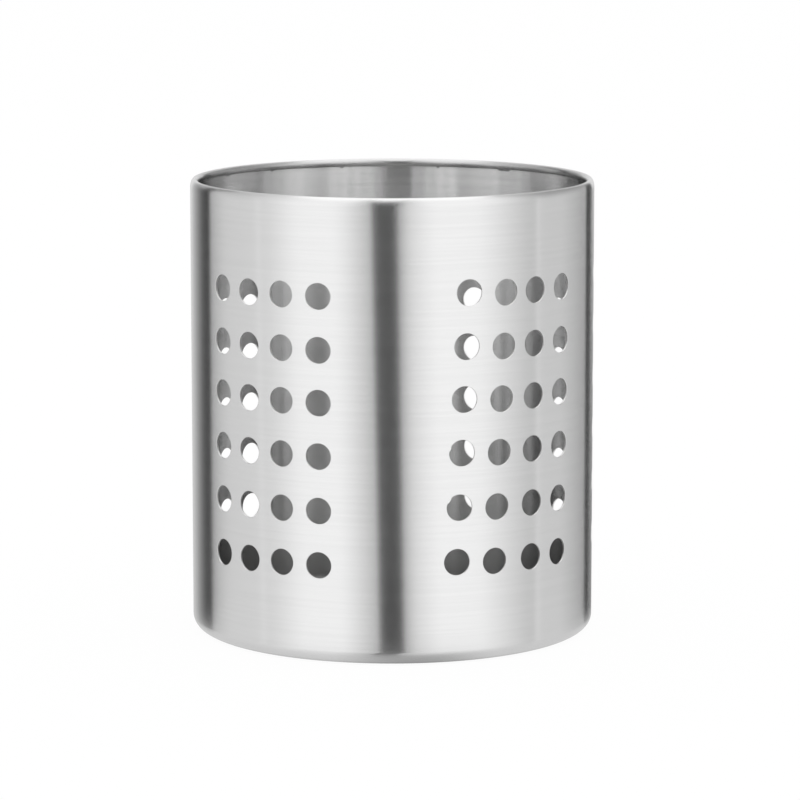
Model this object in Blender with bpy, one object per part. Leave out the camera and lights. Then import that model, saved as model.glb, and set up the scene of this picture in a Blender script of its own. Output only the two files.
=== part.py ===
"""Cutlery holder: a drum of brushed stainless sheet, punched with groups of round holes,
with a rolled rim and a turned-in foot, and a pressed drain floor seated on the foot inside it.

Metres, +Z up. The origin is the centre of the foot, on the table.
The front, -Y, is the middle of the plain strip between two groups of holes.
Azimuths are counted in turns from the front, towards +X.
"""

import math

import bmesh
import bpy
from mathutils import Matrix

MM = 0.001

# Drum: one sheet, its rim rolled inwards and its foot turned in to a narrow flange
DRUM_DIAMETER = 120 * MM
DRUM_HEIGHT = 135 * MM
DRUM_SHEET = 0.5 * MM
RIM_ROLL_BORE_RADIUS = 0.7 * MM
RIM_ROLL_DEGREES = 270
FOOT_BEND_INSIDE_RADIUS = 3.5 * MM
FOOT_FLANGE_WIDTH = 6 * MM

# Holes in the drum, in columns and rows, between plain bands at the rim and at the foot
HOLE_DIAMETER = 7.7 * MM
HOLE_COLUMN_PITCH = 12 * MM
HOLE_ROW_PITCH = 15.6 * MM
PLAIN_BAND_HEIGHT = 24 * MM

# The punch cuts two columns at a stroke, and each group of holes takes two strokes side by side.
# The drum is turned to each stroke by hand, so the groups lie nearly, but not quite, a fifth of
# a turn apart, and each stroke has its own small tilt, clockwise as seen from outside, and its
# own small rise, which is a share of the row pitch
STROKE_COLUMNS = 2
GROUP_TURN_SHARES = (-0.105, 0.103, 0.288, 0.4765, 0.68)
STROKE_TILTS_DEGREES = ((0, 0), (2.7, 1), (1, 1), (0.5, 0.5), (0, 0))
STROKE_RISE_SHARES = (
    (0.01, 0.03),
    (0.08, 0.045),
    (0.03, 0.03),
    (0.035, 0.035),
    (0.015, 0.015),
)

# The punch's pins aren't quite evenly spaced. From the lowest row up, this is how far above its
# even place each one stands, as a share of the row pitch. A taller drum repeats them
ROW_RISE_SHARES = (-0.012, 0.005, 0.019, 0.012, -0.012, -0.019)

# Floor: a pressed disc, its panel raised and its edge turned up a little to nest in the
# drum's foot bend, which it is welded into
FLOOR_SHEET = 0.6 * MM
FLOOR_SEAT_GAP = 0.3 * MM
FLOOR_PANEL_RISE = 2 * MM
FLOOR_STEP_RUN = 3 * MM
FLOOR_STEP_CLEARANCE = 1 * MM

# Drain holes: one in the middle of the floor and rings of six, twelve and so on round it
DRAIN_HOLE_DIAMETER = 7.5 * MM
DRAIN_RING_PITCH = 14.5 * MM
DRAIN_HOLES_PER_RING = 6

# A punch reaches this far past each face that it cuts
PUNCH_OVERRUN = 2 * MM

# Facets, and the angle past which an edge is shaded sharp
TURN_SEGMENTS = 60
PUNCH_SIDES = 14
RIM_ROLL_STEPS = 9
RIM_BORE_STEPS = 6
FOOT_BEND_STEPS = 4
FLOOR_EDGE_STEPS = 2
SHARP_DEGREES = 35

# Places that follow from the sizes
DRUM_RADIUS = DRUM_DIAMETER / 2
RIM_ROLL_RADIUS = RIM_ROLL_BORE_RADIUS + DRUM_SHEET
RIM_ROLL_CENTRE = (DRUM_RADIUS - RIM_ROLL_RADIUS, DRUM_HEIGHT - RIM_ROLL_RADIUS)
FOOT_BEND_RADIUS = FOOT_BEND_INSIDE_RADIUS + DRUM_SHEET
FOOT_BEND_CENTRE = (DRUM_RADIUS - FOOT_BEND_RADIUS, FOOT_BEND_RADIUS)
FOOT_MOUTH_RADIUS = FOOT_BEND_CENTRE[0] - FOOT_FLANGE_WIDTH
HOLE_ROWS = 1 + int((DRUM_HEIGHT - 2 * PLAIN_BAND_HEIGHT - HOLE_DIAMETER) / HOLE_ROW_PITCH)
FLOOR_SEAT = DRUM_SHEET + FLOOR_SEAT_GAP
FLOOR_STEP_RADIUS = FOOT_MOUTH_RADIUS - FLOOR_STEP_CLEARANCE
FLOOR_PANEL_RADIUS = FLOOR_STEP_RADIUS - FLOOR_STEP_RUN
DRAIN_RINGS = int((FLOOR_PANEL_RADIUS - DRAIN_HOLE_DIAMETER) / DRAIN_RING_PITCH)

# Angles in an outline: 0 points away from the drum's axis and 90 points up
OUTWARD = 0
DOWN = -90
FLOOR_EDGE_END = DOWN + (OUTWARD - DOWN) * FLOOR_EDGE_STEPS / FOOT_BEND_STEPS


def arc(centre, radius, start, end, steps):
    """Points of an arc in an outline, with both ends, for angles in degrees."""
    angles = [math.radians(start + (end - start) * step / steps) for step in range(steps + 1)]
    return [
        (centre[0] + radius * math.cos(angle), centre[1] + radius * math.sin(angle))
        for angle in angles
    ]


def drum_outline():
    """The drum's section: up its outside, over the rolled rim, and down its inside."""
    rim = (RIM_ROLL_CENTRE, RIM_ROLL_RADIUS, OUTWARD, RIM_ROLL_DEGREES, RIM_ROLL_STEPS)
    rim_bore = (RIM_ROLL_CENTRE, RIM_ROLL_BORE_RADIUS, RIM_ROLL_DEGREES, OUTWARD, RIM_BORE_STEPS)
    foot = (FOOT_BEND_CENTRE, FOOT_BEND_RADIUS, DOWN, OUTWARD, FOOT_BEND_STEPS)
    foot_bore = (FOOT_BEND_CENTRE, FOOT_BEND_INSIDE_RADIUS, OUTWARD, DOWN, FOOT_BEND_STEPS)
    flange_edge = [(FOOT_MOUTH_RADIUS, DRUM_SHEET), (FOOT_MOUTH_RADIUS, 0)]
    return arc(*foot) + arc(*rim) + arc(*rim_bore) + arc(*foot_bore) + flange_edge


def floor_outline():
    """The floor's section: out under the panel, round the turned-up edge, and back over it."""
    lower_radius = FOOT_BEND_INSIDE_RADIUS - FLOOR_SEAT_GAP
    lower_edge = (FOOT_BEND_CENTRE, lower_radius, DOWN, FLOOR_EDGE_END, FLOOR_EDGE_STEPS)
    upper_radius = lower_radius - FLOOR_SHEET
    upper_edge = (FOOT_BEND_CENTRE, upper_radius, FLOOR_EDGE_END, DOWN, FLOOR_EDGE_STEPS)
    # Over the step, the upper face lies this much further out, so the sheet keeps its thickness
    step_shift = FLOOR_SHEET * math.tan(math.atan2(FLOOR_PANEL_RISE, FLOOR_STEP_RUN) / 2)
    panel = FLOOR_SEAT + FLOOR_PANEL_RISE
    return [
        (FLOOR_PANEL_RADIUS, panel),
        (FLOOR_STEP_RADIUS, FLOOR_SEAT),
        *arc(*lower_edge),
        *arc(*upper_edge),
        (FLOOR_STEP_RADIUS + step_shift, FLOOR_SEAT + FLOOR_SHEET),
        (FLOOR_PANEL_RADIUS + step_shift, panel + FLOOR_SHEET),
    ]


def steel(name, colour, roughness):
    """A bare metal finish."""
    material = bpy.data.materials.new(name)
    material.use_nodes = True
    surface = material.node_tree.nodes["Principled BSDF"]
    surface.inputs["Base Color"].default_value = (*colour, 1)
    surface.inputs["Metallic"].default_value = 1
    surface.inputs["Roughness"].default_value = roughness
    return material


def placed(name, shape):
    """Turns a finished bmesh into an object of the scene."""
    mesh = bpy.data.meshes.new(name)
    shape.to_mesh(mesh)
    shape.free()
    piece = bpy.data.objects.new(name, mesh)
    bpy.context.scene.collection.objects.link(piece)
    return piece


def turned(name, outline, is_ring):
    """An outline of (radius, height) turned about Z. A ring's outline closes on itself,
    and a disc's is left open at its middle, where a flat face closes each side."""
    shape = bmesh.new()
    corners = [shape.verts.new((radius, 0, height)) for radius, height in outline]
    followers = corners[1:] + corners[:1] if is_ring else corners[1:]
    edges = [shape.edges.new(pair) for pair in zip(corners, followers)]
    bmesh.ops.spin(
        shape,
        geom=corners + edges,
        cent=(0, 0, 0),
        axis=(0, 0, 1),
        angle=math.tau,
        steps=TURN_SEGMENTS,
        use_merge=True,
    )
    if not is_ring:
        open_edges = [edge for edge in shape.edges if edge.is_boundary]
        bmesh.ops.holes_fill(shape, edges=open_edges)
    bmesh.ops.recalc_face_normals(shape, faces=shape.faces)
    return placed(name, shape)


def punches(name, frames, diameter, length):
    """A hidden cutter that holds one round punch along the Z axis of each frame."""
    shape = bmesh.new()
    for frame in frames:
        bmesh.ops.create_cone(
            shape,
            cap_ends=True,
            segments=PUNCH_SIDES,
            radius1=diameter / 2,
            radius2=diameter / 2,
            depth=length,
            matrix=frame,
        )
    cutter = placed(name, shape)
    cutter.hide_render = True
    cutter.display_type = "WIRE"
    return cutter


def punched(piece, cutter):
    """Cuts the punches through a piece, and shades what is round as round."""
    cut = piece.modifiers.new("Punched holes", "BOOLEAN")
    cut.operation = "DIFFERENCE"
    cut.solver = "EXACT"
    cut.object = cutter
    graph = bpy.context.evaluated_depsgraph_get()
    mesh = bpy.data.meshes.new_from_object(piece.evaluated_get(graph))
    piece.modifiers.clear()
    piece.data = mesh
    mesh.shade_smooth()
    mesh.set_sharp_from_angle(angle=math.radians(SHARP_DEGREES))


def stroke_frames(azimuth, tilt, rise):
    """One stroke's holes: a frame for each, its Z axis straight through the drum's sheet."""
    frames = []
    middle_of_sheet = DRUM_RADIUS - DRUM_SHEET / 2
    upright = Matrix.Rotation(math.radians(90), 4, "X")
    for column in range(STROKE_COLUMNS):
        for row in range(HOLE_ROWS):
            across = HOLE_COLUMN_PITCH * (column - (STROKE_COLUMNS - 1) / 2)
            row_rise_share = ROW_RISE_SHARES[row % len(ROW_RISE_SHARES)]
            up = HOLE_ROW_PITCH * (row - (HOLE_ROWS - 1) / 2 + row_rise_share)
            along = across * math.cos(tilt) + up * math.sin(tilt)
            height = DRUM_HEIGHT / 2 + rise + up * math.cos(tilt) - across * math.sin(tilt)
            turn = Matrix.Rotation(azimuth + along / DRUM_RADIUS, 4, "Z")
            frames.append(turn @ Matrix.Translation((0, -middle_of_sheet, height)) @ upright)
    return frames


def drum_hole_frames():
    """Every hole of the drum, group by group and stroke by stroke."""
    frames = []
    stroke_width = HOLE_COLUMN_PITCH * STROKE_COLUMNS
    groups = zip(GROUP_TURN_SHARES, STROKE_TILTS_DEGREES, STROKE_RISE_SHARES)
    for turn_share, tilts, rise_shares in groups:
        for stroke, (tilt, rise_share) in enumerate(zip(tilts, rise_shares)):
            offset = stroke_width * (stroke - (len(tilts) - 1) / 2)
            azimuth = math.tau * turn_share + offset / DRUM_RADIUS
            frames += stroke_frames(azimuth, math.radians(tilt), HOLE_ROW_PITCH * rise_share)
    return frames


def drain_hole_frames():
    """A frame for each drain hole, at the middle of the raised panel's sheet."""
    height = FLOOR_SEAT + FLOOR_PANEL_RISE + FLOOR_SHEET / 2
    frames = [Matrix.Translation((0, 0, height))]
    for ring in range(1, DRAIN_RINGS + 1):
        count = DRAIN_HOLES_PER_RING * ring
        for place in range(count):
            turn = Matrix.Rotation(math.tau * place / count, 4, "Z")
            frames.append(turn @ Matrix.Translation((0, -DRAIN_RING_PITCH * ring, height)))
    return frames


def make_drum():
    drum = turned("drum_wall", drum_outline(), is_ring=True)
    length = DRUM_SHEET + 2 * PUNCH_OVERRUN
    punched(drum, punches("drum_punches", drum_hole_frames(), HOLE_DIAMETER, length))
    drum.data.materials.append(steel("brushed_steel", (0.78, 0.78, 0.77), 0.3))


def make_floor():
    floor = turned("floor_pan", floor_outline(), is_ring=False)
    length = FLOOR_SHEET + 2 * PUNCH_OVERRUN
    punched(floor, punches("drain_punches", drain_hole_frames(), DRAIN_HOLE_DIAMETER, length))
    floor.data.materials.append(steel("plain_steel", (0.74, 0.74, 0.73), 0.35))


def main():
    for leftover in list(bpy.data.objects):
        bpy.data.objects.remove(leftover)
    make_drum()
    make_floor()


main()
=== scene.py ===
"""Cutlery holder: the finished look of the punched drum and its drain floor, and a studio.

Metres, +Z up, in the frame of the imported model. The front is -Y.
Azimuths are counted from the front, towards +X.
"""

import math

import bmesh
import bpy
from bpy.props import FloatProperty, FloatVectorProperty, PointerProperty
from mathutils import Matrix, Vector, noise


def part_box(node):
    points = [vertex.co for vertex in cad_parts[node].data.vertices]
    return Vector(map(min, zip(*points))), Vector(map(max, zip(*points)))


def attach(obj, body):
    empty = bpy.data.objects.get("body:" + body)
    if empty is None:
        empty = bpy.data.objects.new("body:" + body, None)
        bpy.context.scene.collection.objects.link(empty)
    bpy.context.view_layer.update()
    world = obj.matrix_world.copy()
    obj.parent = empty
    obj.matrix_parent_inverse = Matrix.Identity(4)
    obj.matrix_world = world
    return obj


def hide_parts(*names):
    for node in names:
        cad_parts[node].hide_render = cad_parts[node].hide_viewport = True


bl_info = {
    "name": "Punched Steel Cutlery Holder",
    "version": (1, 0, 0),
    "blender": (4, 5, 0),
    "location": "3D View > Sidebar > Cutlery Holder",
    "description": "Builds a brushed steel cutlery holder with a punched wall, and a studio for it",
    "category": "Add Mesh",
}

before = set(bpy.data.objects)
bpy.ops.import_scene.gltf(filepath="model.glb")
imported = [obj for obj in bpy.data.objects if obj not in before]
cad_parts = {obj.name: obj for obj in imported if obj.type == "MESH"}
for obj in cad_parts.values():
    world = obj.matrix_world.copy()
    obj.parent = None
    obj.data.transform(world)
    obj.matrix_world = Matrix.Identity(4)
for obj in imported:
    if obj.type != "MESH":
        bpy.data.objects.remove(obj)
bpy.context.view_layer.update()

MM = 0.001

# The drum's size comes from the frame
DRUM_LOW, DRUM_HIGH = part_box("drum_wall")
DRUM_RADIUS = DRUM_HIGH.y
DRUM_HEIGHT = DRUM_HIGH.z

# Closer to the axis than this the sheet is bent in, at the rim and at the foot
BENT_IN_RADIUS = DRUM_RADIUS - 1 * MM

# The punch cuts two columns of six holes at a stroke, and a group takes two strokes side by side.
# The drum is turned by hand between them, so each stroke has a small tilt, clockwise as seen from
# outside, and a small rise, which is a share of the row pitch. A group's place is in turns
STROKE_COLUMNS = 2
HOLE_ROWS = 6
GROUP_TURN_SHARES = (-0.105, 0.103, 0.288, 0.4765, 0.68)
STROKE_TILTS_DEGREES = ((0, 0), (2.7, 1), (1, 1), (0.5, 0.5), (0, 0))
STROKE_RISE_SHARES = (
    (0.01, 0.03),
    (0.08, 0.045),
    (0.03, 0.03),
    (0.035, 0.035),
    (0.015, 0.015),
)

# The punch's pins aren't quite evenly spaced. From the lowest row up, this is how far above its
# even place each one stands, as a share of the row pitch
ROW_RISE_SHARES = (-0.012, 0.005, 0.019, 0.012, -0.012, -0.019)

# The rim's raw edge strays in a few long waves and, less, in many short teeth. Both are counted
# in steps of noise over the drum's radius
RIM_WAVES = 3
RIM_TEETH = 40
RIM_TEETH_SHARE = 0.6

# The azimuth where the wall's normals turn most at the foot, and how far it is from there to
# where they turn about a third as far
FRONT_TWIST_MIDDLE = math.radians(-15)
FRONT_TWIST_SPREAD = math.radians(40)

# How finely the drum's mesh is divided. A hole's edge has as many points as its cell's outline
CELL_COLUMNS = 10
CELL_ROWS = 14
HOLE_SIDES = 2 * (CELL_COLUMNS + CELL_ROWS)
STRIP_COLUMNS = 12
BAND_ROWS = 6
CELL_RING_SHARES = (0.4, 0.75)
ROUNDING_STEPS = 2
RIM_STEPS = 24
RIM_BORE_STEPS = 12
FOOT_STEPS = 12

# How finely the floor is divided. Its shading breaks where two faces meet at FLOOR_EDGE_DEGREES
# or more, and the mesh is rounded where they meet at DRAIN_EDGE_DEGREES or more
FLOOR_SIDES = 240
FLOOR_EDGE_STEPS = 8
FLOOR_EDGE_DEGREES = 30
DRAIN_SIDES = 40
DRAIN_EDGE_DEGREES = 60
DRAIN_ROUNDING_STEPS = 2

# Drain holes: one in the middle of the floor and rings of six and twelve round it
DRAIN_RINGS = 2
DRAIN_HOLES_PER_RING = 6

# How long the punch for a drain hole is, in thicknesses of the floor's sheet
DRAIN_PUNCH_SHEETS = 6

# Angles in a section: 0 points away from the drum's axis and 90 points up
OUTWARD = 0
DOWN = -90
QUARTER = 90

# The order of the drum's materials
OUTSIDE, INSIDE, CUT = range(3)

WHITE = (1, 1, 1)

# A noise stays mostly in its middle. Streaks are told apart in a narrower part of it, and the
# painted crevice shade reaches down at nicks in the rim's raw edge where the noise is high
NOISE_LOW = 0.25
NOISE_HIGH = 0.75
STREAK_LOW = 0.38
STREAK_HIGH = 0.62
NICK_LOW = 0.55
NICK_HIGH = 0.65

# The height over which the painted shade in the crevice under the rim fades out
CREVICE_FADE = 0.4 * MM

# A streak's shine spreads across it, so a quarter turn from the way that it runs
ACROSS_STREAKS = 0.25

# The grain of punched edges and of rolled sheet, drawn coarse enough to show: its size, its
# relief, and how its finest and its roughest places spread a reflection
PUNCHED_GRAIN = 0.15 * MM
PUNCHED_ROUGHNESS = (0.25, 0.45)
ROLLED_GRAIN_LENGTH = 20 * MM
ROLLED_GRAIN_WIDTH = 0.6 * MM
ROLLED_ROUGHNESS = (0.32, 0.4)
ROLLED_SHADE = 0.94
GRAIN_RELIEF = 0.004 * MM


def linear(code):
    """An sRGB hex colour as the linear red, green and blue that Blender works in."""
    shares = [int(code[place:place + 2], 16) / 255 for place in (1, 3, 5)]
    return tuple(
        share / 12.92 if share <= 0.04045 else ((share + 0.055) / 1.055) ** 2.4
        for share in shares
    )


def length_setting(name, description, millimetres):
    """A size that a user can change."""
    return FloatProperty(
        name=name, description=description, default=millimetres * MM, unit="LENGTH"
    )


def angle_setting(name, description, degrees):
    """An angle that a user can change."""
    return FloatProperty(
        name=name, description=description, default=math.radians(degrees), unit="ROTATION"
    )


def plain_setting(name, description, value, unit="NONE"):
    """A share, a brightness or another plain number that a user can change."""
    return FloatProperty(name=name, description=description, default=value, unit=unit)


def colour_setting(name, description, code):
    """A colour that a user can change."""
    return FloatVectorProperty(
        name=name, description=description, default=linear(code), subtype="COLOR"
    )


class CutleryDrumSettings(bpy.types.PropertyGroup):
    """The drum wall: one sheet with a rolled rim, a turned-in foot and punched holes."""

    sheet: length_setting("Sheet", "Thickness of the drum's sheet", 0.5)
    rim_bore: length_setting("Rim bore", "Inside radius of the rolled rim", 0.7)
    rim_shoulder: length_setting(
        "Rim shoulder", "Height over which the wall turns in to the rolled rim", 2.6
    )
    rim_roll: angle_setting("Rim roll", "How far round the rim is rolled", 270)
    rim_raggedness: angle_setting(
        "Rim raggedness", "How far the rim's raw edge strays along the roll", 7
    )
    front_twist: angle_setting(
        "Front twist", "How far the wall in front is turned at the foot, against the rim", 2.5
    )
    foot_bend: length_setting("Foot bend", "Inside radius of the bend at the foot", 3.5)
    foot_flange: length_setting("Foot flange", "Width of the flat ring that the drum stands on", 6)
    hole_diameter: length_setting("Hole diameter", "Diameter of a punched hole", 7.7)
    column_pitch: length_setting(
        "Column pitch", "Step between the columns of holes, along the wall", 12
    )
    row_pitch: length_setting("Row pitch", "Step between the rows of holes", 15.6)
    edge_rounding: length_setting(
        "Edge rounding", "Radius that brushing leaves on a cut edge", 0.09
    )


class CutleryFloorSettings(bpy.types.PropertyGroup):
    """The pressed drain floor that lies in the drum's foot."""

    sheet: length_setting("Sheet", "Thickness of the floor's sheet", 0.6)
    seat_gap: length_setting("Seat gap", "Clearance between the floor and the drum's foot", 0.3)
    panel_rise: length_setting("Panel rise", "Height of the raised panel above the floor's seat", 2)
    step_run: length_setting("Step run", "Width of the slope up to the raised panel", 3)
    step_clearance: length_setting(
        "Step clearance", "From the mouth of the drum's foot in to the slope", 1
    )
    drain_diameter: length_setting("Drain diameter", "Diameter of a drain hole", 7.5)
    drain_pitch: length_setting("Drain pitch", "Step between the rings of drain holes", 14.5)
    edge_rounding: length_setting("Edge rounding", "Radius on the edge of a drain hole", 0.08)


class CutleryFinishSettings(bpy.types.PropertyGroup):
    """The colours and the brushing of the steel, and the shade painted into it.

    A belt's real marks are under 0.1 mm high, too fine to show in the render, so its streaks are
    drawn as high as they need to show.
    """

    outside: colour_setting("Outside", "Colour of the brushed outside", "#EBEBEB")
    inside: colour_setting("Inside", "Colour of the brushed inside", "#EAEAEA")
    inside_edge: colour_setting(
        "Inside at a glance",
        "Tint of the brushed inside where it is seen at a glancing angle",
        "#B4B4B4",
    )
    cut: colour_setting("Cut edges", "Colour of the punched and sheared edges", "#E6E6E5")
    floor: colour_setting("Floor", "Colour of the floor's rolled sheet", "#A6A6A4")
    streak_height: length_setting("Streak height", "Height of a brushed streak", 0.6)
    streak_length: length_setting(
        "Streak length", "Length of a short brushed streak, round the drum", 26
    )
    long_streak_length: length_setting(
        "Long streak length", "Length of a long brushed streak, round the drum", 90
    )
    groove_slope: plain_setting(
        "Groove slope",
        "Slope of the sides of the coarser grooves inside, as a rise over a run",
        0.12,
    )
    outside_roughness: plain_setting(
        "Outside roughness", "How far the brushed outside spreads a reflection", 0.27
    )
    inside_roughness: plain_setting(
        "Inside roughness", "How far the brushed inside spreads a reflection", 0.2
    )
    # Painted shade in the crevice under the rolled rim: its brightness and how far down it reaches
    crevice_shade: plain_setting(
        "Crevice shade", "Brightness of the steel in the crevice under the rim, as a share", 0.35
    )
    crevice_depth: length_setting(
        "Crevice depth", "From the top of the rim down to where the crevice's shade ends", 2.5
    )
    # Painted shade on the inside just above the floor, darker towards the table
    foot_shade: plain_setting(
        "Foot shade", "Brightness of the inside just above the floor, which no belt reaches", 0.4
    )
    foot_shade_height: length_setting(
        "Foot shade height", "Height above the table where the inside's foot shade ends", 26
    )
    # Painted shade on the rolled rim's side towards the axis
    roll_shade: plain_setting(
        "Roll shade",
        "Brightness of the rolled rim's side towards the axis, which no belt reaches",
        0.75,
    )
    roll_radius: length_setting(
        "Roll radius", "Radius of the rolled rim, half of which gets the roll's shade", 1.2
    )
    # Where the rim's raw edge has a nick, the painted crevice shade reaches further down
    nick_depth: length_setting(
        "Nick depth",
        "How far the crevice's shade reaches down at a nick in the rim's raw edge",
        0.6,
    )
    nick_length: length_setting("Nick length", "Length of a nick in the rim's raw edge", 5)
    roughness_range: plain_setting(
        "Roughness range", "How far the roughness of single streaks strays", 0.0034
    )
    outside_contrast: plain_setting(
        "Outside contrast",
        "How far single streaks outside stray from their colour, as a share",
        0.012,
    )
    inside_contrast: plain_setting(
        "Inside contrast",
        "How far single streaks inside stray from their colour, as a share",
        0.025,
    )


class CutleryStudioSettings(bpy.types.PropertyGroup):
    """The camera, the table, the light and the cards that the steel reflects."""

    camera_distance: length_setting(
        "Camera distance", "From the drum's axis to the camera, measured level", 1182
    )
    camera_height: length_setting("Camera height", "Height of the camera above the table", 254)
    camera_side: length_setting(
        "Camera side", "How far the camera stands to the right of the axis", 2.3
    )
    camera_pitch: angle_setting("Camera pitch", "How far the camera looks down", 8.94)
    camera_view: angle_setting("Camera view", "Width of the camera's view", 11.44)
    table_size: length_setting("Table size", "Length of a side of the table", 12000)
    table: colour_setting("Table", "Colour of the table", "#FAFAFA")
    table_lift: plain_setting(
        "Table lift", "How far the table is lifted to plain white for the camera, from 0 to 1", 0.95
    )
    tent_radius: length_setting(
        "Tent radius", "From the drum's axis to the cards that hang round it", 3000
    )
    table_fade_start: length_setting(
        "Table fade start",
        "How far from the axis the drum begins to reflect the cards for the table",
        62,
    )
    table_fade_end: length_setting(
        "Table fade end", "How far from the axis the drum reflects the cards alone", 74
    )
    # The table's painted reflection near the foot, and its painted shade in front of the drum
    table_reflected: plain_setting(
        "Table reflected", "Brightness of the table as the drum's foot reflects it", 0.73
    )
    shade_reflected: plain_setting(
        "Shade reflected",
        "Brightness of the table in the front flag's shade, as the foot reflects it",
        0.42,
    )
    shade_side: length_setting(
        "Shade side", "How far the middle of the front flag's shade lies to the right", 8
    )
    shade_front: length_setting(
        "Shade front", "How far the middle of the front flag's shade lies in front of the axis", 66
    )
    shade_start: length_setting(
        "Shade start", "How far from its middle the front flag's shade begins to fade", 5
    )
    shade_end: length_setting(
        "Shade end", "How far from its middle the front flag's shade ends", 30
    )
    lamp_size: length_setting("Lamp size", "Length of a side of the overhead softbox", 2400)
    lamp_height: length_setting(
        "Lamp height", "Height of the overhead softbox above the table", 1500
    )
    lamp_energy: plain_setting("Lamp energy", "Power of the overhead softbox", 4, unit="POWER")


SETTINGS = {
    "cutlery_drum": CutleryDrumSettings,
    "cutlery_floor": CutleryFloorSettings,
    "cutlery_finish": CutleryFinishSettings,
    "cutlery_studio": CutleryStudioSettings,
}


def add_node(tree, kind, inputs=None, **settings):
    """Adds a node with its settings. An input gets a value, or a link from an output. A whole
    node stands for the first of its outputs that is in use."""
    node = tree.nodes.new(kind)
    for name, value in settings.items():
        setattr(node, name, value)
    for name, value in (inputs or {}).items():
        if isinstance(value, bpy.types.Node):
            value = next(output for output in value.outputs if output.enabled)
        if isinstance(value, bpy.types.NodeSocket):
            tree.links.new(value, node.inputs[name])
        else:
            node.inputs[name].default_value = value
    return node


def empty_tree(owner):
    """The emptied node tree of a material or a world."""
    owner.use_nodes = True
    owner.node_tree.nodes.clear()
    return owner.node_tree


def add_object(name, data):
    """A new object in the scene."""
    thing = bpy.data.objects.new(name, data)
    bpy.context.scene.collection.objects.link(thing)
    return thing


def finished_mesh(name, shape):
    """The mesh of a finished bmesh, which is then let go."""
    mesh = bpy.data.meshes.new(name)
    shape.to_mesh(mesh)
    shape.free()
    return mesh


def place_piece(name, mesh, node):
    """Puts a finished mesh in the scene, in the place of a node of the frame."""
    piece = add_object(name, mesh)
    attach(piece, "root")
    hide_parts(node)
    return piece


def arc(centre, radius, start, end, steps):
    """Points of an arc in a section, with both ends, for angles in degrees."""
    angles = [math.radians(start + (end - start) * step / steps) for step in range(steps + 1)]
    return [
        (centre[0] + radius * math.cos(angle), centre[1] + radius * math.sin(angle))
        for angle in angles
    ]


def between(first, second, share):
    """The point at a share of the way from one point to another."""
    return tuple(a + (b - a) * share for a, b in zip(first, second))


def axis_distance(tree, place):
    """How far a place is from the drum's axis."""
    level = add_node(
        tree, "ShaderNodeVectorMath", {0: place, 1: (1, 1, 0)}, operation="MULTIPLY"
    )
    return add_node(tree, "ShaderNodeVectorMath", {0: level}, operation="LENGTH")


def brushed_lines(tree, length, height):
    """Noise drawn out round the drum, as a brushing belt leaves it.

    It changes slowly round the drum's axis and fast with the height. Where the sheet is bent
    in it changes as fast with the distance from the axis, so the lines run true there too.
    """
    place = add_node(tree, "ShaderNodeTexCoord").outputs["Object"]
    scales = (1 / length, 1 / length, 1 / height)
    stretched = add_node(
        tree, "ShaderNodeVectorMath", {0: place, 1: scales}, operation="MULTIPLY"
    )
    distance = axis_distance(tree, place)
    bent_in = add_node(
        tree, "ShaderNodeMath", {0: distance, 1: BENT_IN_RADIUS}, operation="MINIMUM"
    )
    depth = add_node(tree, "ShaderNodeMath", {0: bent_in, 1: 1 / height}, operation="MULTIPLY")
    return add_node(
        tree,
        "ShaderNodeTexNoise",
        {"Vector": stretched, "W": depth, "Scale": 1, "Detail": 0},
        noise_dimensions="4D",
    )


def tipped_normal(tree, tangent, slope):
    """The surface's normal, tipped as one side of the brushed grooves is."""
    surface = add_node(tree, "ShaderNodeNewGeometry").outputs["Normal"]
    across = add_node(
        tree, "ShaderNodeVectorMath", {0: surface, 1: tangent}, operation="CROSS_PRODUCT"
    )
    tipped = add_node(
        tree,
        "ShaderNodeVectorMath",
        {0: across, 1: (slope, slope, slope), 2: surface},
        operation="MULTIPLY_ADD",
    )
    return add_node(tree, "ShaderNodeVectorMath", {0: tipped}, operation="NORMALIZE")


def inside_shade(tree, finish):
    """How bright the inside is with the height: a painted shade in the crevice under the rolled rim,
    reaching further down where the rim's raw edge has a nick, and a painted shade at the foot,
    darker towards the table."""
    place = add_node(tree, "ShaderNodeTexCoord").outputs["Object"]
    uneven = add_node(
        tree, "ShaderNodeTexNoise", {"Vector": place, "Scale": 1 / finish.nick_length}
    )
    nick = add_node(
        tree,
        "ShaderNodeMapRange",
        {
            "Value": uneven,
            "From Min": NICK_LOW,
            "From Max": NICK_HIGH,
            "To Min": 0,
            "To Max": finish.nick_depth,
        },
    )
    height = add_node(tree, "ShaderNodeSeparateXYZ", {0: place}).outputs["Z"]
    nicked_height = add_node(tree, "ShaderNodeMath", {0: height, 1: nick}, operation="ADD")
    # Painted shade in the crevice under the rim, and painted shade at the foot
    end = DRUM_HEIGHT - finish.crevice_depth
    crevice = add_node(
        tree,
        "ShaderNodeMapRange",
        {
            "Value": nicked_height,
            "From Min": end,
            "From Max": end + CREVICE_FADE,
            "To Min": 1,
            "To Max": finish.crevice_shade,
        },
    )
    foot = add_node(
        tree,
        "ShaderNodeMapRange",
        {
            "Value": height,
            "From Min": 0,
            "From Max": finish.foot_shade_height,
            "To Min": finish.foot_shade,
            "To Max": 1,
        },
    )
    return add_node(tree, "ShaderNodeMath", {0: crevice, 1: foot}, operation="MULTIPLY")


def roll_shade(tree, finish):
    """How bright the outside is: a painted shade round the roll, darker from its top in to its inner
    side.
    """
    place = add_node(tree, "ShaderNodeTexCoord").outputs["Object"]
    top = DRUM_RADIUS - finish.roll_radius
    return add_node(
        tree,
        "ShaderNodeMapRange",
        {
            "Value": axis_distance(tree, place),
            "From Min": top - finish.roll_radius,
            "From Max": top,
            "To Min": finish.roll_shade,
            "To Max": 1,
        },
    )


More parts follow.
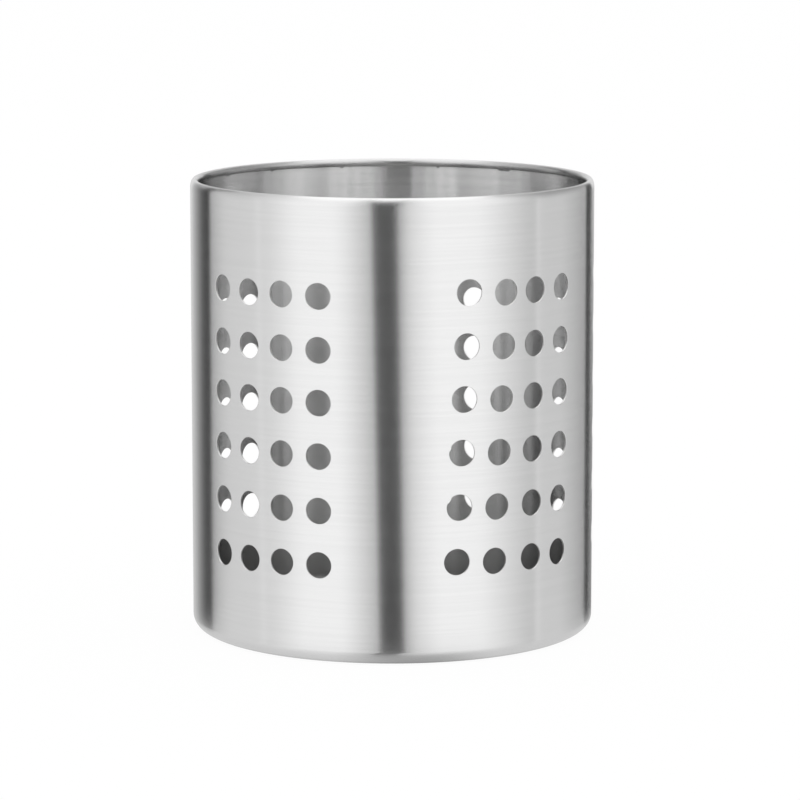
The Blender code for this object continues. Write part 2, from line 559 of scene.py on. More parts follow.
def brushed_stainless(name, colour, edge, contrast, roughness, slopes, darkness, finish):
    """Stainless sheet brushed with a belt: fine level lines, which spread each reflection
    up and down into an even band but hardly sideways, so bright and dark bands stand upright.
    Its grooves have one or two slopes, and with two, half of it faces along each."""
    material = bpy.data.materials.new(name)
    tree = empty_tree(material)
    short = brushed_lines(tree, finish.streak_length, finish.streak_height)
    long = brushed_lines(tree, finish.long_streak_length, 2 * finish.streak_height)
    line = add_node(tree, "ShaderNodeMix", {"Factor": 0.5, "A": short, "B": long})
    streak_shade, streak_roughness = [
        add_node(
            tree,
            "ShaderNodeMapRange",
            {
                "Value": line,
                "From Min": STREAK_LOW,
                "From Max": STREAK_HIGH,
                "To Min": middle - stray,
                "To Max": middle + stray,
            },
        )
        for middle, stray in ((1, contrast), (roughness, finish.roughness_range))
    ]
    # The darkness adds painted shade: round the rolled rim outside, and under the rim and at the
    # foot inside
    shade = add_node(
        tree, "ShaderNodeMath", {0: streak_shade, 1: darkness(tree, finish)}, operation="MULTIPLY"
    )
    shaded = add_node(
        tree, "ShaderNodeVectorMath", {0: colour, "Scale": shade}, operation="SCALE"
    )
    around = add_node(tree, "ShaderNodeTangent", direction_type="RADIAL", axis="Z")
    sides = [
        add_node(
            tree,
            "ShaderNodeBsdfPrincipled",
            {
                "Base Color": shaded,
                "Metallic": 1,
                "Roughness": streak_roughness,
                "Specular Tint": (*edge, 1),
                "Anisotropic": 1,
                "Anisotropic Rotation": ACROSS_STREAKS,
                "Tangent": around,
                "Normal": tipped_normal(tree, around, slope),
            },
        )
        for slope in slopes
    ]
    surface = sides[0]
    for side in sides[1:]:
        surface = add_node(tree, "ShaderNodeMixShader", {"Fac": 0.5, 1: surface, 2: side})
    add_node(tree, "ShaderNodeOutputMaterial", {"Surface": surface})
    return material


def punched_edge(name, colour):
    """The edge of a sheet that was cut by a punch or a shear: bright where the tool rubbed
    it, with a fine grain across the sheet."""
    material = bpy.data.materials.new(name)
    tree = empty_tree(material)
    place = add_node(tree, "ShaderNodeTexCoord").outputs["Object"]
    grain = add_node(
        tree, "ShaderNodeTexNoise", {"Vector": place, "Scale": 1 / PUNCHED_GRAIN, "Detail": 2}
    )
    relief = add_node(
        tree, "ShaderNodeBump", {"Strength": 1, "Distance": GRAIN_RELIEF, "Height": grain}
    )
    rough = add_node(
        tree,
        "ShaderNodeMapRange",
        {
            "Value": grain,
            "From Min": NOISE_LOW,
            "From Max": NOISE_HIGH,
            "To Min": PUNCHED_ROUGHNESS[0],
            "To Max": PUNCHED_ROUGHNESS[1],
        },
    )
    surface = add_node(
        tree,
        "ShaderNodeBsdfPrincipled",
        {"Base Color": (*colour, 1), "Metallic": 1, "Roughness": rough, "Normal": relief},
    )
    add_node(tree, "ShaderNodeOutputMaterial", {"Surface": surface})
    return material


def mill_finish(name, colour):
    """Cold-rolled stainless as it leaves the mill: an even, dull shine with a faint grain
    along the way that it was rolled."""
    material = bpy.data.materials.new(name)
    tree = empty_tree(material)
    place = add_node(tree, "ShaderNodeTexCoord").outputs["Object"]
    along, across = 1 / ROLLED_GRAIN_LENGTH, 1 / ROLLED_GRAIN_WIDTH
    drawn_out = add_node(
        tree, "ShaderNodeVectorMath", {0: place, 1: (along, across, along)}, operation="MULTIPLY"
    )
    grain = add_node(
        tree, "ShaderNodeTexNoise", {"Vector": drawn_out, "Scale": 1, "Detail": 3}
    )
    relief = add_node(
        tree, "ShaderNodeBump", {"Strength": 1, "Distance": GRAIN_RELIEF, "Height": grain}
    )
    shade, rough = [
        add_node(
            tree,
            "ShaderNodeMapRange",
            {
                "Value": grain,
                "From Min": NOISE_LOW,
                "From Max": NOISE_HIGH,
                "To Min": low,
                "To Max": high,
            },
        )
        for low, high in ((ROLLED_SHADE, 1), ROLLED_ROUGHNESS)
    ]
    shaded = add_node(
        tree, "ShaderNodeVectorMath", {0: colour, "Scale": shade}, operation="SCALE"
    )
    surface = add_node(
        tree,
        "ShaderNodeBsdfPrincipled",
        {"Base Color": shaded, "Metallic": 1, "Roughness": rough, "Normal": relief},
    )
    add_node(tree, "ShaderNodeOutputMaterial", {"Surface": surface})
    return material


def even_angle_shares(count):
    """Shares along a side of a hole's cell that lie at even angles about the cell's middle."""
    step = math.tau / HOLE_SIDES
    reach = math.tan(step * count / 2)
    places = [math.tan(step * (place - count / 2)) for place in range(count + 1)]
    return [0.5 + place / reach / 2 for place in places]


def even_shares(count):
    """Shares from 0 to 1 in even steps."""
    return [place / count for place in range(count + 1)]


class PunchedWall:
    """The drum's wall unrolled: a grid of (azimuth, height) with a cell for each hole."""

    def __init__(self, sizes):
        self.sizes = sizes
        self.radius = DRUM_RADIUS
        self.inner_radius = DRUM_RADIUS - sizes.sheet
        self.bottom = sizes.foot_bend + sizes.sheet
        self.top = DRUM_HEIGHT - sizes.rim_shoulder
        self.holes = []
        groups = self.group_posts()
        spans = self.post_spans(groups)
        self.columns = [
            self.column(between_posts(left, right, share))
            for left, right, shares in spans
            for share in shares[:-1]
        ]

    def stroke_point(self, group, stroke, across, up):
        """Where a point of one punch stroke comes on the wall."""
        sizes = self.sizes
        tilt = math.radians(STROKE_TILTS_DEGREES[group][stroke])
        offset = sizes.column_pitch * STROKE_COLUMNS * (stroke - 0.5)
        along = offset + across * math.cos(tilt) + up * math.sin(tilt)
        rise = sizes.row_pitch * STROKE_RISE_SHARES[group][stroke]
        height = DRUM_HEIGHT / 2 + rise + up * math.cos(tilt) - across * math.sin(tilt)
        return math.tau * GROUP_TURN_SHARES[group] + along / self.radius, height

    def group_posts(self):
        """For each group, the upright lines between its columns, as points at the row lines."""
        sizes = self.sizes
        groups = []
        for group in range(len(GROUP_TURN_SHARES)):
            strokes = [
                [
                    [
                        self.stroke_point(
                            group,
                            stroke,
                            sizes.column_pitch * (post - STROKE_COLUMNS / 2),
                            sizes.row_pitch * (line - HOLE_ROWS / 2),
                        )
                        for line in range(HOLE_ROWS + 1)
                    ]
                    for post in range(STROKE_COLUMNS + 1)
                ]
                for stroke in range(2)
            ]
            first, second = strokes
            shared = between_posts(first[-1], second[0], 0.5)
            groups.append(first[:-1] + [shared] + second[1:])
        return groups

    def post_spans(self, groups):
        """Pairs of neighbouring posts all the way round, each with its columns' shares."""
        spans = []
        for group, posts in enumerate(groups):
            for column, (left, right) in enumerate(zip(posts, posts[1:])):
                self.add_holes(group, column, sum(len(span[2]) - 1 for span in spans))
                spans.append((left, right, even_angle_shares(CELL_COLUMNS)))
            following = groups[(group + 1) % len(groups)][0]
            turn = math.tau if group + 1 == len(groups) else 0
            following = [(azimuth + turn, height) for azimuth, height in following]
            spans.append((posts[-1], following, even_shares(STRIP_COLUMNS)))
        return spans

    def add_holes(self, group, column, first_column):
        """Notes one column's holes: their cells' first grid column and row, and their middles."""
        sizes = self.sizes
        stroke, place = divmod(column, STROKE_COLUMNS)
        across = sizes.column_pitch * (place - (STROKE_COLUMNS - 1) / 2)
        for row in range(HOLE_ROWS):
            up = sizes.row_pitch * (row - (HOLE_ROWS - 1) / 2 + ROW_RISE_SHARES[row])
            middle = self.stroke_point(group, stroke, across, up)
            self.holes.append((first_column, BAND_ROWS + row * CELL_ROWS, middle))

    def column(self, lines):
        """A grid column's points from the foot's bend up to the rim."""
        lowest, highest = lines[0], lines[-1]
        foot = (lowest[0], self.bottom)
        rim = (highest[0], self.top)
        points = [between(foot, lowest, share) for share in even_shares(BAND_ROWS)[:-1]]
        for lower, upper in zip(lines, lines[1:]):
            shares = even_angle_shares(CELL_ROWS)[:-1]
            points += [between(lower, upper, share) for share in shares]
        points += [between(highest, rim, share) for share in even_shares(BAND_ROWS)]
        return points


def between_posts(left, right, share):
    """A line of points at a share of the way from one post to another."""
    return [between(a, b, share) for a, b in zip(left, right)]


def rim_section(sizes, roll):
    """The rolled rim's section: round its outside, over the raw edge and back up its bore.

    The first quarter is drawn out downwards, so the wall turns in softly to the roll.
    """
    outer = sizes.rim_bore + sizes.sheet
    centre = (DRUM_RADIUS - outer, DRUM_HEIGHT - outer)
    blunting = math.degrees(sizes.edge_rounding / outer)
    end = math.degrees(roll)
    drop = sizes.rim_shoulder - outer

    def rolled(radius, start, stop, steps):
        """An arc of the roll, with its outer quarter drawn out down to the shoulder."""
        turns = [start + (stop - start) * share for share in even_shares(steps)]
        drops = [
            drop * (1 - math.sin(math.radians(turn))) if turn < QUARTER else 0 for turn in turns
        ]
        points = arc(centre, radius, start, stop, steps)
        return [(out, height - lower) for (out, height), lower in zip(points, drops)]

    outside = rolled(outer, OUTWARD, end - blunting, RIM_STEPS)
    bore = rolled(sizes.rim_bore, end - blunting, OUTWARD, RIM_BORE_STEPS)
    corners = arc(centre, outer - sizes.edge_rounding, end, end, 1)[:1]
    corners += arc(centre, sizes.rim_bore + sizes.edge_rounding, end, end, 1)[:1]
    return outside[1:], corners, bore[:-1]


def foot_section(sizes):
    """The foot's section: down the bend's inside, over the flange's edge, and back outside."""
    outer = sizes.foot_bend + sizes.sheet
    centre = (DRUM_RADIUS - outer, outer)
    mouth = centre[0] - sizes.foot_flange
    rounding = sizes.edge_rounding
    inside = arc(centre, sizes.foot_bend, OUTWARD, DOWN, FOOT_STEPS)
    edge = [(mouth + rounding, sizes.sheet), (mouth, sizes.sheet - rounding)]
    edge += [(mouth, rounding), (mouth + rounding, 0)]
    outside = arc(centre, outer, DOWN, OUTWARD, FOOT_STEPS)
    return inside[1:], edge, outside[:-1]


def on_drum(azimuth, radius, height):
    """A point of the drum, from its azimuth, its distance from the axis and its height."""
    return radius * math.sin(azimuth), -radius * math.cos(azimuth), height


def raw_edge_stray(azimuth):
    """How far the rim's raw edge strays at an azimuth, from about -1 to 1."""
    x, y = math.sin(azimuth), math.cos(azimuth)
    waves = noise.noise(RIM_WAVES * Vector((x, y, 0)))
    teeth = noise.noise(RIM_TEETH * Vector((x, y, 1)))
    return waves + RIM_TEETH_SHARE * teeth


def drum_column(wall, points):
    """A grid column carried on right round the drum's section: each place and its finish."""
    sizes = wall.sizes
    foot_azimuth, rim_azimuth = points[0][0], points[-1][0]
    roll = sizes.rim_roll + sizes.rim_raggedness * raw_edge_stray(rim_azimuth)
    outside = [(azimuth, wall.radius, height) for azimuth, height in points]
    inside = [(azimuth, wall.inner_radius, height) for azimuth, height in reversed(points)]
    rim = [[(rim_azimuth, *point) for point in part] for part in rim_section(sizes, roll)]
    foot = [[(foot_azimuth, *point) for point in part] for part in foot_section(sizes)]
    parts = [
        (OUTSIDE, outside + rim[0]),
        (CUT, rim[1]),
        (INSIDE, rim[2] + inside + foot[0]),
        (CUT, foot[1]),
        (OUTSIDE, foot[2]),
    ]
    return [(finish, place) for finish, places in parts for place in places]


def drum_mesh(sizes):
    """The whole drum as one closed mesh: its section's points make rows right round it."""
    wall = PunchedWall(sizes)
    shape = bmesh.new()
    columns = [drum_column(wall, points) for points in wall.columns]
    rows = len(columns[0])
    first_inner_row = next(
        row for row, (finish, place) in enumerate(columns[0])
        if finish == INSIDE and place[1:] == (wall.inner_radius, wall.top)
    )
    last_inner_row = first_inner_row + len(wall.columns[0]) - 1
    hidden = set()
    cells = set()
    for first_column, first_row, middle in wall.holes:
        for column in range(CELL_COLUMNS):
            for row in range(CELL_ROWS):
                place = (first_column + column, first_row + row)
                cells.add(place)
                cells.add((place[0], last_inner_row - place[1] - 1))
                if column and row:
                    hidden.add(place)
                    hidden.add((place[0], last_inner_row - place[1]))
    grid = {
        (column, row): shape.verts.new(on_drum(*columns[column][row][1]))
        for column in range(len(columns))
        for row in range(rows)
        if (column, row) not in hidden
    }
    for column in range(len(columns)):
        beside = (column + 1) % len(columns)
        for row in range(rows):
            if (column, row) in cells:
                continue
            above = (row + 1) % rows
            corners = [(column, row), (beside, row), (beside, above), (column, above)]
            face = shape.faces.new([grid[corner] for corner in corners])
            finish = columns[column][row][0]
            next_finish = columns[column][above][0]
            face.material_index = CUT if CUT in (finish, next_finish) else finish
    for first_column, first_row, middle in wall.holes:
        outline = cell_outline(first_column, first_row, len(columns))
        front = [grid[place] for place in outline]
        back = [grid[(column, last_inner_row - row)] for column, row in outline]
        punch_hole(shape, sizes, middle, front, back)
    bmesh.ops.recalc_face_normals(shape, faces=shape.faces)
    mesh = finished_mesh("drum", shape)
    mesh.shade_smooth()
    mesh.normals_split_custom_set_from_vertices(
        [wall_normal(wall, vertex.co) for vertex in mesh.vertices]
    )
    return mesh


def cell_outline(first_column, first_row, column_count):
    """The grid places round a hole's cell: up its right side, back over its top, and round."""
    left, right = first_column, (first_column + CELL_COLUMNS) % column_count
    low, high = first_row, first_row + CELL_ROWS
    outline = [(right, row) for row in range(low, high)]
    outline += [(left + CELL_COLUMNS - step, high) for step in range(CELL_COLUMNS)]
    outline += [(left, row) for row in range(high, low, -1)]
    outline += [(left + step, low) for step in range(CELL_COLUMNS)]
    return [(column % column_count, row) for column, row in outline]


def wall_normal(wall, point):
    """The normal of a point on the round wall, or zero where the mesh's own will do.

    The rolled sheet is a hair out of true in front, so its normals turn a little on the way
    down there, and the dark band that it reflects leans.
    """
    close = 1e-6
    radius = math.hypot(point.x, point.y)
    azimuth = math.atan2(point.x, -point.y)
    share = (wall.top - point.z) / (wall.top - wall.bottom)
    off_middle = (azimuth - FRONT_TWIST_MIDDLE) / FRONT_TWIST_SPREAD
    azimuth -= share * wall.sizes.front_twist * math.exp(-off_middle ** 2)
    level = Vector(on_drum(azimuth, 1, 0))
    if wall.bottom - close < point.z < wall.top + close:
        if abs(radius - wall.radius) < close:
            return level
        if abs(radius - wall.inner_radius) < close:
            return -level
    return Vector((0, 0, 0))


def punch_hole(shape, sizes, middle, front, back):
    """Fills a cell with rings of faces: in to the hole, over its rounded edge, through the
    sheet, over the far edge, and out to the cell's outline on the inside."""
    outer_radius, inner_radius = DRUM_RADIUS, DRUM_RADIUS - sizes.sheet
    hole, rounding = sizes.hole_diameter / 2, sizes.edge_rounding
    turns = [
        math.tau * (place - CELL_ROWS / 2) / HOLE_SIDES for place in range(HOLE_SIDES)
    ]

    def circle(radius, depth):
        """A ring about the punch's axis, at a distance from the drum's axis."""
        return [
            (
                middle[0] + math.asin(radius * math.cos(turn) / depth),
                depth,
                middle[1] + radius * math.sin(turn),
            )
            for turn in turns
        ]

    def rounded(depth, inward):
        """The rings over a rounded edge, from the face of the sheet into the hole."""
        bends = [math.radians(QUARTER * step / ROUNDING_STEPS) for step in range(ROUNDING_STEPS + 1)]
        return [
            circle(
                hole + rounding * (1 - math.sin(bend)),
                depth + inward * rounding * (1 - math.cos(bend)),
            )
            for bend in bends
        ]

    def cylindrical(vertex):
        """A grid vertex as (azimuth, distance, height), with its azimuth near the hole's."""
        azimuth = math.atan2(vertex.co.x, -vertex.co.y)
        azimuth += math.tau * round((middle[0] - azimuth) / math.tau)
        return azimuth, math.hypot(vertex.co.x, vertex.co.y), vertex.co.z

    front_edge = rounded(outer_radius, -1)
    back_edge = rounded(inner_radius, 1)[::-1]
    front_outline = [cylindrical(vertex) for vertex in front]
    back_outline = [cylindrical(vertex) for vertex in back]
    rings = [between_posts(front_outline, front_edge[0], share) for share in CELL_RING_SHARES]
    rings += front_edge + back_edge
    rings += [
        between_posts(back_outline, back_edge[-1], share) for share in reversed(CELL_RING_SHARES)
    ]
    spread = len(CELL_RING_SHARES)
    finishes = [OUTSIDE] * (spread + 2)
    finishes += [CUT] * (2 * ROUNDING_STEPS - 1)
    finishes += [INSIDE] * (spread + 2)
    vertices = [front]
    vertices += [[shape.verts.new(on_drum(*place)) for place in ring] for ring in rings]
    vertices += [back]
    for finish, ring, further in zip(finishes, vertices, vertices[1:]):
        for place in range(HOLE_SIDES):
            beside = (place + 1) % HOLE_SIDES
            face = shape.faces.new([ring[place], ring[beside], further[beside], further[place]])
            face.material_index = finish


class CUTLERY_OT_make_drum(bpy.types.Operator):
    """Makes the drum wall, with its holes, its rolled rim and its turned-in foot"""

    bl_idname = "cutlery.make_drum"
    bl_label = "Make the Drum"
    bl_options = {"REGISTER", "UNDO"}

    def execute(self, context):
        scene = context.scene
        sizes, finish = scene.cutlery_drum, scene.cutlery_finish
        mesh = drum_mesh(sizes)
        outside = brushed_stainless(
            "brushed_stainless_outside",
            finish.outside,
            WHITE,
            finish.outside_contrast,
            finish.outside_roughness,
            [0],
            roll_shade,
            finish,
        )
        inside = brushed_stainless(
            "brushed_stainless_inside",
            finish.inside,
            finish.inside_edge,
            finish.inside_contrast,
            finish.inside_roughness,
            [-finish.groove_slope, finish.groove_slope],
            inside_shade,
            finish,
        )
        mesh.materials.append(outside)
        mesh.materials.append(inside)
        mesh.materials.append(punched_edge("punched_stainless_edge", finish.cut))
        place_piece("punched_drum", mesh, "drum_wall")
        return {"FINISHED"}


def floor_section(sizes, drum):
    """The floor's section: out under the panel, round the turned-up edge, and back over it."""
    seat = drum.sheet + sizes.seat_gap
    panel = seat + sizes.panel_rise
    bend_centre = (DRUM_RADIUS - drum.foot_bend - drum.sheet, drum.foot_bend + drum.sheet)
    step_radius = bend_centre[0] - drum.foot_flange - sizes.step_clearance
    panel_radius = step_radius - sizes.step_run
    edge_end = DOWN / 2
    lower_radius = drum.foot_bend - sizes.seat_gap
    upper_radius = lower_radius - sizes.sheet
    slope = math.degrees(math.atan2(sizes.panel_rise, sizes.step_run))
    shift = sizes.sheet * math.tan(math.radians(slope) / 2)
    below = [(panel_radius, panel), (step_radius, seat)]
    above = [(step_radius + shift, seat + sizes.sheet), (panel_radius + shift, panel + sizes.sheet)]
    lower_edge = arc(bend_centre, lower_radius, DOWN, edge_end, FLOOR_EDGE_STEPS)
    upper_edge = arc(bend_centre, upper_radius, edge_end, DOWN, FLOOR_EDGE_STEPS)
    return below + lower_edge + upper_edge + above


def floor_mesh(sizes, drum):
    """The floor pressed from one disc, before its drain holes are punched."""
    shape = bmesh.new()
    outline = floor_section(sizes, drum)
    corners = [shape.verts.new((radius, 0, height)) for radius, height in outline]
    edges = [shape.edges.new(pair) for pair in zip(corners, corners[1:])]
    bmesh.ops.spin(
        shape,
        geom=corners + edges,
        cent=(0, 0, 0),
        axis=(0, 0, 1),
        angle=math.tau,
        steps=FLOOR_SIDES,
        use_merge=True,
    )
    bmesh.ops.holes_fill(shape, edges=[edge for edge in shape.edges if edge.is_boundary])
    bmesh.ops.recalc_face_normals(shape, faces=shape.faces)
    return finished_mesh("floor", shape)


def drain_punches(sizes, drum):
    """A cutter with one round punch for each drain hole."""
    shape = bmesh.new()
    height = drum.sheet + sizes.seat_gap + sizes.panel_rise + sizes.sheet / 2
    for ring in range(DRAIN_RINGS + 1):
        count = max(1, DRAIN_HOLES_PER_RING * ring)
        for place in range(count):
            turn = Matrix.Rotation(math.tau * place / count, 4, "Z")
            out = Matrix.Translation((0, -sizes.drain_pitch * ring, height))
            bmesh.ops.create_cone(
                shape,
                cap_ends=True,
                segments=DRAIN_SIDES,
                radius1=sizes.drain_diameter / 2,
                radius2=sizes.drain_diameter / 2,
                depth=DRAIN_PUNCH_SHEETS * sizes.sheet,
                matrix=turn @ out,
            )
    return add_object("drain_punches", finished_mesh("drain_punches", shape))


class CUTLERY_OT_make_floor(bpy.types.Operator):
    """Makes the drain floor"""

    bl_idname = "cutlery.make_floor"
    bl_label = "Make the Floor"
    bl_options = {"REGISTER", "UNDO"}

    def execute(self, context):
        scene = context.scene
        sizes, drum, finish = scene.cutlery_floor, scene.cutlery_drum, scene.cutlery_finish
        mesh = floor_mesh(sizes, drum)
        piece = place_piece("drain_floor", mesh, "floor_pan")
        cutter = drain_punches(sizes, drum)
        cut = piece.modifiers.new("Drain holes", "BOOLEAN")
        cut.solver = "EXACT"
        cut.object = cutter
        graph = context.evaluated_depsgraph_get()
        punched = bpy.data.meshes.new_from_object(piece.evaluated_get(graph))
        piece.modifiers.clear()
        piece.data = punched
        bpy.data.objects.remove(cutter)
        punched.materials.append(mill_finish("rolled_stainless_floor", finish.floor))
        punched.shade_smooth()
        punched.set_sharp_from_angle(angle=math.radians(FLOOR_EDGE_DEGREES))
        rounding = piece.modifiers.new("Rounded edges", "BEVEL")
        rounding.width = sizes.edge_rounding
        rounding.segments = DRAIN_ROUNDING_STEPS
        rounding.limit_method = "ANGLE"
        rounding.angle_limit = math.radians(DRAIN_EDGE_DEGREES)
        piece.modifiers.new("Even shading", "WEIGHTED_NORMAL")
        return {"FINISHED"}


# How finely the cards are divided, and how bright the round one overhead is
CARD_STEP_DEGREES = 3
CEILING_SIDES = 48
CEILING_BRIGHTNESS = 1.1

# Where cards end, in degrees up from level as seen from the foot
CARD_LOW = -60
CARD_MIDDLE = 12
CARD_HIGH = 60
FLAG_HIGH = 40
REAR_CARD_HIGH = -3
REAR_MIDDLE_HIGH = 26

# The cards that hang round the drum in two rings: their name, the azimuths of their two ends in
# degrees, their brightness at each end, and where their low and high ends aren't the ring's,
# these two. The lower ring is open by two degrees or less between some cards, and the white
# world shows there
LOWER_CARDS = (
    ("rear_left_card", -180, -158, 1, 0.55, CARD_LOW, REAR_CARD_HIGH),
    ("left_flag_edge", -158, -136.8, 0.6, 0.08),
    ("left_flag", -136.8, -125.2, 0.08, 0.03),
    ("left_bounce_edge", -124.2, -108, 0.58, 0.79),
    ("left_bounce", -108, -82, 0.78, 0.8),
    ("left_softbox_edge", -80, -56, 0.76, 1.09),
    ("left_softbox", -56, -33, 1.09, 1.08),
    ("left_softbox_fade", -33, -12.6, 1.08, 0.56),
    ("front_flag", -11.8, 3, 0.02, 0.02),
    ("right_softbox_fade", 3.4, 11, 0.56, 0.88),
    ("right_softbox_rise", 11, 25, 0.87, 1.09),
    ("right_softbox", 25, 50, 1.09, 1.07),
    ("right_softbox_edge", 50, 89, 1.07, 0.6),
    ("right_bounce", 91, 112, 0.76, 0.74),
    ("right_bounce_edge", 112, 141, 0.73, 0.44),
    ("right_flag", 142.5, 157, 0.02, 0.1),
    ("rear_right_edge", 158, 168, 0.12, 0.4, CARD_LOW, REAR_CARD_HIGH),
    ("rear_right_card", 168, 180, 0.4, 1, CARD_LOW, REAR_CARD_HIGH),
    ("rear_middle_card", 158, 202, 0.75, 0.75, REAR_CARD_HIGH, REAR_MIDDLE_HIGH),
)
UPPER_CARDS = (
    ("left_upper_card", -158, -136.5, 0.4, 0.5),
    ("left_upper_flag", -136.5, -125, 0.02, 0.02, CARD_MIDDLE, FLAG_HIGH),
    ("left_upper_strip", -136.5, -125, 0.5, 0.5, FLAG_HIGH, CARD_HIGH),
    ("left_upper_bounce", -125, -100, 0.55, 0.6),
    ("left_upper_edge", -100, -56, 0.6, 1.05),
    ("left_upper_softbox", -56, -26, 1.05, 1.08),
    ("left_upper_fade", -26, -11.8, 1.08, 0.6),
    ("front_upper_flag", -11.8, 6, 0.02, 0.02, CARD_MIDDLE, FLAG_HIGH),
    ("front_upper_card", -11.8, 6, 1.4, 1.4, FLAG_HIGH, CARD_HIGH),
    ("right_upper_fade", 6, 20, 0.6, 1.08),
    ("right_upper_softbox", 20, 62, 1.08, 1.1),
    ("right_upper_edge", 62, 100, 1.1, 0.4),
    ("right_upper_card", 100, 158, 0.4, 0.35),
    ("rear_upper_card", 158, 202, 1.05, 1.05, REAR_MIDDLE_HIGH, CARD_HIGH),
)


def card_paper():
    """Matt paper that only shows in reflections, as bright as its points say."""
    material = bpy.data.materials.new("card_paper")
    tree = empty_tree(material)
    brightness = add_node(tree, "ShaderNodeAttribute", attribute_name="brightness")
    light = add_node(
        tree,
        "ShaderNodeEmission",
        {"Color": (*WHITE, 1), "Strength": brightness.outputs["Fac"]},
    )
    add_node(tree, "ShaderNodeOutputMaterial", {"Surface": light})
    return material


def make_card(
    studio, paper, name, start, end, start_brightness, end_brightness, low, high
):
    """One card, curved round the drum's axis."""
    heights = [studio.tent_radius * math.tan(math.radians(angle)) for angle in (low, high)]
    steps = max(2, round(abs(end - start) / CARD_STEP_DEGREES))
    shape = bmesh.new()
    brightness = shape.verts.layers.float.new("brightness")
    edges = []
    for share in even_shares(steps):
        azimuth = math.radians(start + (end - start) * share)
        edge = [
            shape.verts.new(on_drum(azimuth, studio.tent_radius, height)) for height in heights
        ]
        for vertex in edge:
            vertex[brightness] = start_brightness + (end_brightness - start_brightness) * share
        edges.append(edge)
    for (bottom, top), (next_bottom, next_top) in zip(edges, edges[1:]):
        shape.faces.new([bottom, next_bottom, next_top, top])
    hang_card(name, shape, paper)


def make_ceiling(studio, paper):
    """A round card that closes the tent overhead."""
    shape = bmesh.new()
    brightness = shape.verts.layers.float.new("brightness")
    height = studio.tent_radius * math.tan(math.radians(CARD_HIGH))
    rim = [
        shape.verts.new(on_drum(math.tau * share, studio.tent_radius, height))
        for share in even_shares(CEILING_SIDES)[:-1]
    ]
    for vertex in rim:
        vertex[brightness] = CEILING_BRIGHTNESS
    shape.faces.new(rim)
    hang_card("ceiling_card", shape, paper)


def hang_card(name, shape, paper):
    """Hangs a finished card where only reflections show it."""
    mesh = finished_mesh(name, shape)
    mesh.materials.append(paper)
    card = add_object(name, mesh)
    card.visible_camera = False
    card.visible_diffuse = False
    card.visible_shadow = False
    card.visible_transmission = False


def table_paper(studio):
    """Matt white paper. The camera sees it nearly as white as the background, with the soft
    shadow under the drum. Close to the foot the drum reflects not the lit paper but a painted
    reflection of it, with a painted shade in front of the drum, and further out the paper
    lets reflections through to the cards, so that the bands in the steel stay upright."""
    material = bpy.data.materials.new("table_paper")
    tree = empty_tree(material)
    paper = add_node(tree, "ShaderNodeBsdfDiffuse", {"Color": (*studio.table, 1)})
    white = add_node(tree, "ShaderNodeEmission", {"Color": (*WHITE, 1), "Strength": 1})
    place = add_node(tree, "ShaderNodeTexCoord").outputs["Object"]
    from_shade = add_node(
        tree,
        "ShaderNodeVectorMath",
        {0: place, 1: (studio.shade_side, -studio.shade_front, 0)},
        operation="DISTANCE",
    )
    # Glossy rays see a painted reflection of the table, with a painted shade in front of the drum
    near_foot = add_node(
        tree,
        "ShaderNodeMapRange",
        {
            "Value": from_shade,
            "From Min": studio.shade_start,
            "From Max": studio.shade_end,
            "To Min": studio.shade_reflected,
            "To Max": studio.table_reflected,
        },
        interpolation_type="SMOOTHSTEP",
    )
    reflected = add_node(
        tree, "ShaderNodeEmission", {"Color": (*WHITE, 1), "Strength": near_foot}
    )
    clear = add_node(tree, "ShaderNodeBsdfTransparent", {"Color": (*WHITE, 1)})
    path = add_node(tree, "ShaderNodeLightPath").outputs
    seen = add_node(
        tree,
        "ShaderNodeMath",
        {0: path["Is Camera Ray"], 1: path["Is Transmission Ray"]},
        operation="MAXIMUM",
    )
    lift = add_node(
        tree, "ShaderNodeMath", {0: seen, 1: studio.table_lift}, operation="MULTIPLY"
    )
    lifted = add_node(tree, "ShaderNodeMixShader", {"Fac": lift, 1: paper, 2: white})
    mirrored = add_node(
        tree, "ShaderNodeMixShader", {"Fac": path["Is Glossy Ray"], 1: lifted, 2: reflected}
    )
    far = add_node(
        tree,
        "ShaderNodeMapRange",
        {
            "Value": axis_distance(tree, place),
            "From Min": studio.table_fade_start,
            "From Max": studio.table_fade_end,
        },
        interpolation_type="SMOOTHSTEP",
    )
    passed = add_node(
        tree, "ShaderNodeMath", {0: far, 1: path["Is Glossy Ray"]}, operation="MULTIPLY"
    )
    surface = add_node(tree, "ShaderNodeMixShader", {"Fac": passed, 1: mirrored, 2: clear})
    add_node(tree, "ShaderNodeOutputMaterial", {"Surface": surface})
    return material


def make_world(scene):
    """An even white studio all round."""
    world = bpy.data.worlds.new("white_studio")
    scene.world = world
    tree = empty_tree(world)
    light = add_node(tree, "ShaderNodeBackground", {"Color": (*WHITE, 1), "Strength": 1})
    add_node(tree, "ShaderNodeOutputWorld", {"Surface": light})


def make_table(studio):
    """The table's top, which the drum stands on."""
    half = studio.table_size / 2
    mesh = bpy.data.meshes.new("table")
    corners = [(-half, -half, 0), (half, -half, 0), (half, half, 0), (-half, half, 0)]
    mesh.from_pydata(corners, [], [(0, 1, 2, 3)])
    mesh.materials.append(table_paper(studio))
    table = add_object("table", mesh)


def make_lamp(studio):
    """A wide, faint softbox overhead, which leaves a soft shadow under the drum."""
    light = bpy.data.lights.new("overhead_softbox", "AREA")
    light.size = studio.lamp_size
    light.energy = studio.lamp_energy
    add_object("overhead_softbox", light).location = (0, 0, studio.lamp_height)


def make_camera(scene, studio):
    """The camera, which looks a little down on the drum from in front."""
    camera = bpy.data.cameras.new("camera")
    camera.lens_unit = "FOV"
    camera.angle = studio.camera_view
    stand = add_object("camera", camera)
    stand.location = (studio.camera_side, -studio.camera_distance, studio.camera_height)
    stand.rotation_euler = (math.radians(QUARTER) - studio.camera_pitch, 0, 0)
    scene.camera = stand


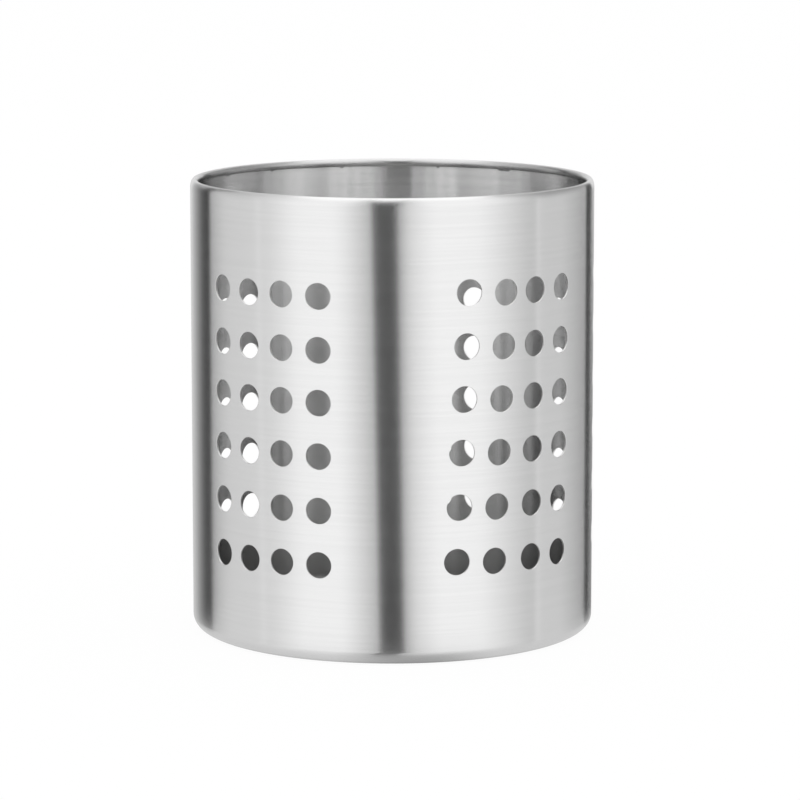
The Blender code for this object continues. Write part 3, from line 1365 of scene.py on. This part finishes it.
class CUTLERY_OT_make_studio(bpy.types.Operator):
    """Makes the table, the cards that the steel reflects, the light and the camera"""

    bl_idname = "cutlery.make_studio"
    bl_label = "Make the Studio"
    bl_options = {"REGISTER", "UNDO"}

    def execute(self, context):
        scene = context.scene
        studio = scene.cutlery_studio
        make_world(scene)
        make_table(studio)
        paper = card_paper()
        for card in LOWER_CARDS:
            make_card(studio, paper, *card[:5], *(card[5:] or (CARD_LOW, CARD_MIDDLE)))
        for card in UPPER_CARDS:
            make_card(studio, paper, *card[:5], *(card[5:] or (CARD_MIDDLE, CARD_HIGH)))
        make_ceiling(studio, paper)
        make_lamp(studio)
        make_camera(scene, studio)
        scene.view_settings.view_transform = "Standard"
        return {"FINISHED"}


class CUTLERY_PT_sidebar(bpy.types.Panel):
    """The holder's pieces and settings, in the 3D view's sidebar"""

    bl_label = "Cutlery Holder"
    bl_idname = "CUTLERY_PT_sidebar"
    bl_space_type = "VIEW_3D"
    bl_region_type = "UI"
    bl_category = "Cutlery Holder"

    def draw(self, context):
        layout = self.layout
        layout.use_property_split = True
        for name, settings_class in SETTINGS.items():
            box = layout.box()
            settings = getattr(context.scene, name)
            for size in settings_class.__annotations__:
                box.prop(settings, size)
        layout.operator(CUTLERY_OT_make_drum.bl_idname)
        layout.operator(CUTLERY_OT_make_floor.bl_idname)
        layout.operator(CUTLERY_OT_make_studio.bl_idname)


CLASSES = (
    *SETTINGS.values(),
    CUTLERY_OT_make_drum,
    CUTLERY_OT_make_floor,
    CUTLERY_OT_make_studio,
    CUTLERY_PT_sidebar,
)


def register():
    for each in CLASSES:
        bpy.utils.register_class(each)
    for name, settings_class in SETTINGS.items():
        setattr(bpy.types.Scene, name, PointerProperty(type=settings_class))


def unregister():
    for name in SETTINGS:
        delattr(bpy.types.Scene, name)
    for each in reversed(CLASSES):
        bpy.utils.unregister_class(each)


def main():
    register()
    bpy.ops.cutlery.make_drum()
    bpy.ops.cutlery.make_floor()
    bpy.ops.cutlery.make_studio()


if __name__ == "__main__":
    main()
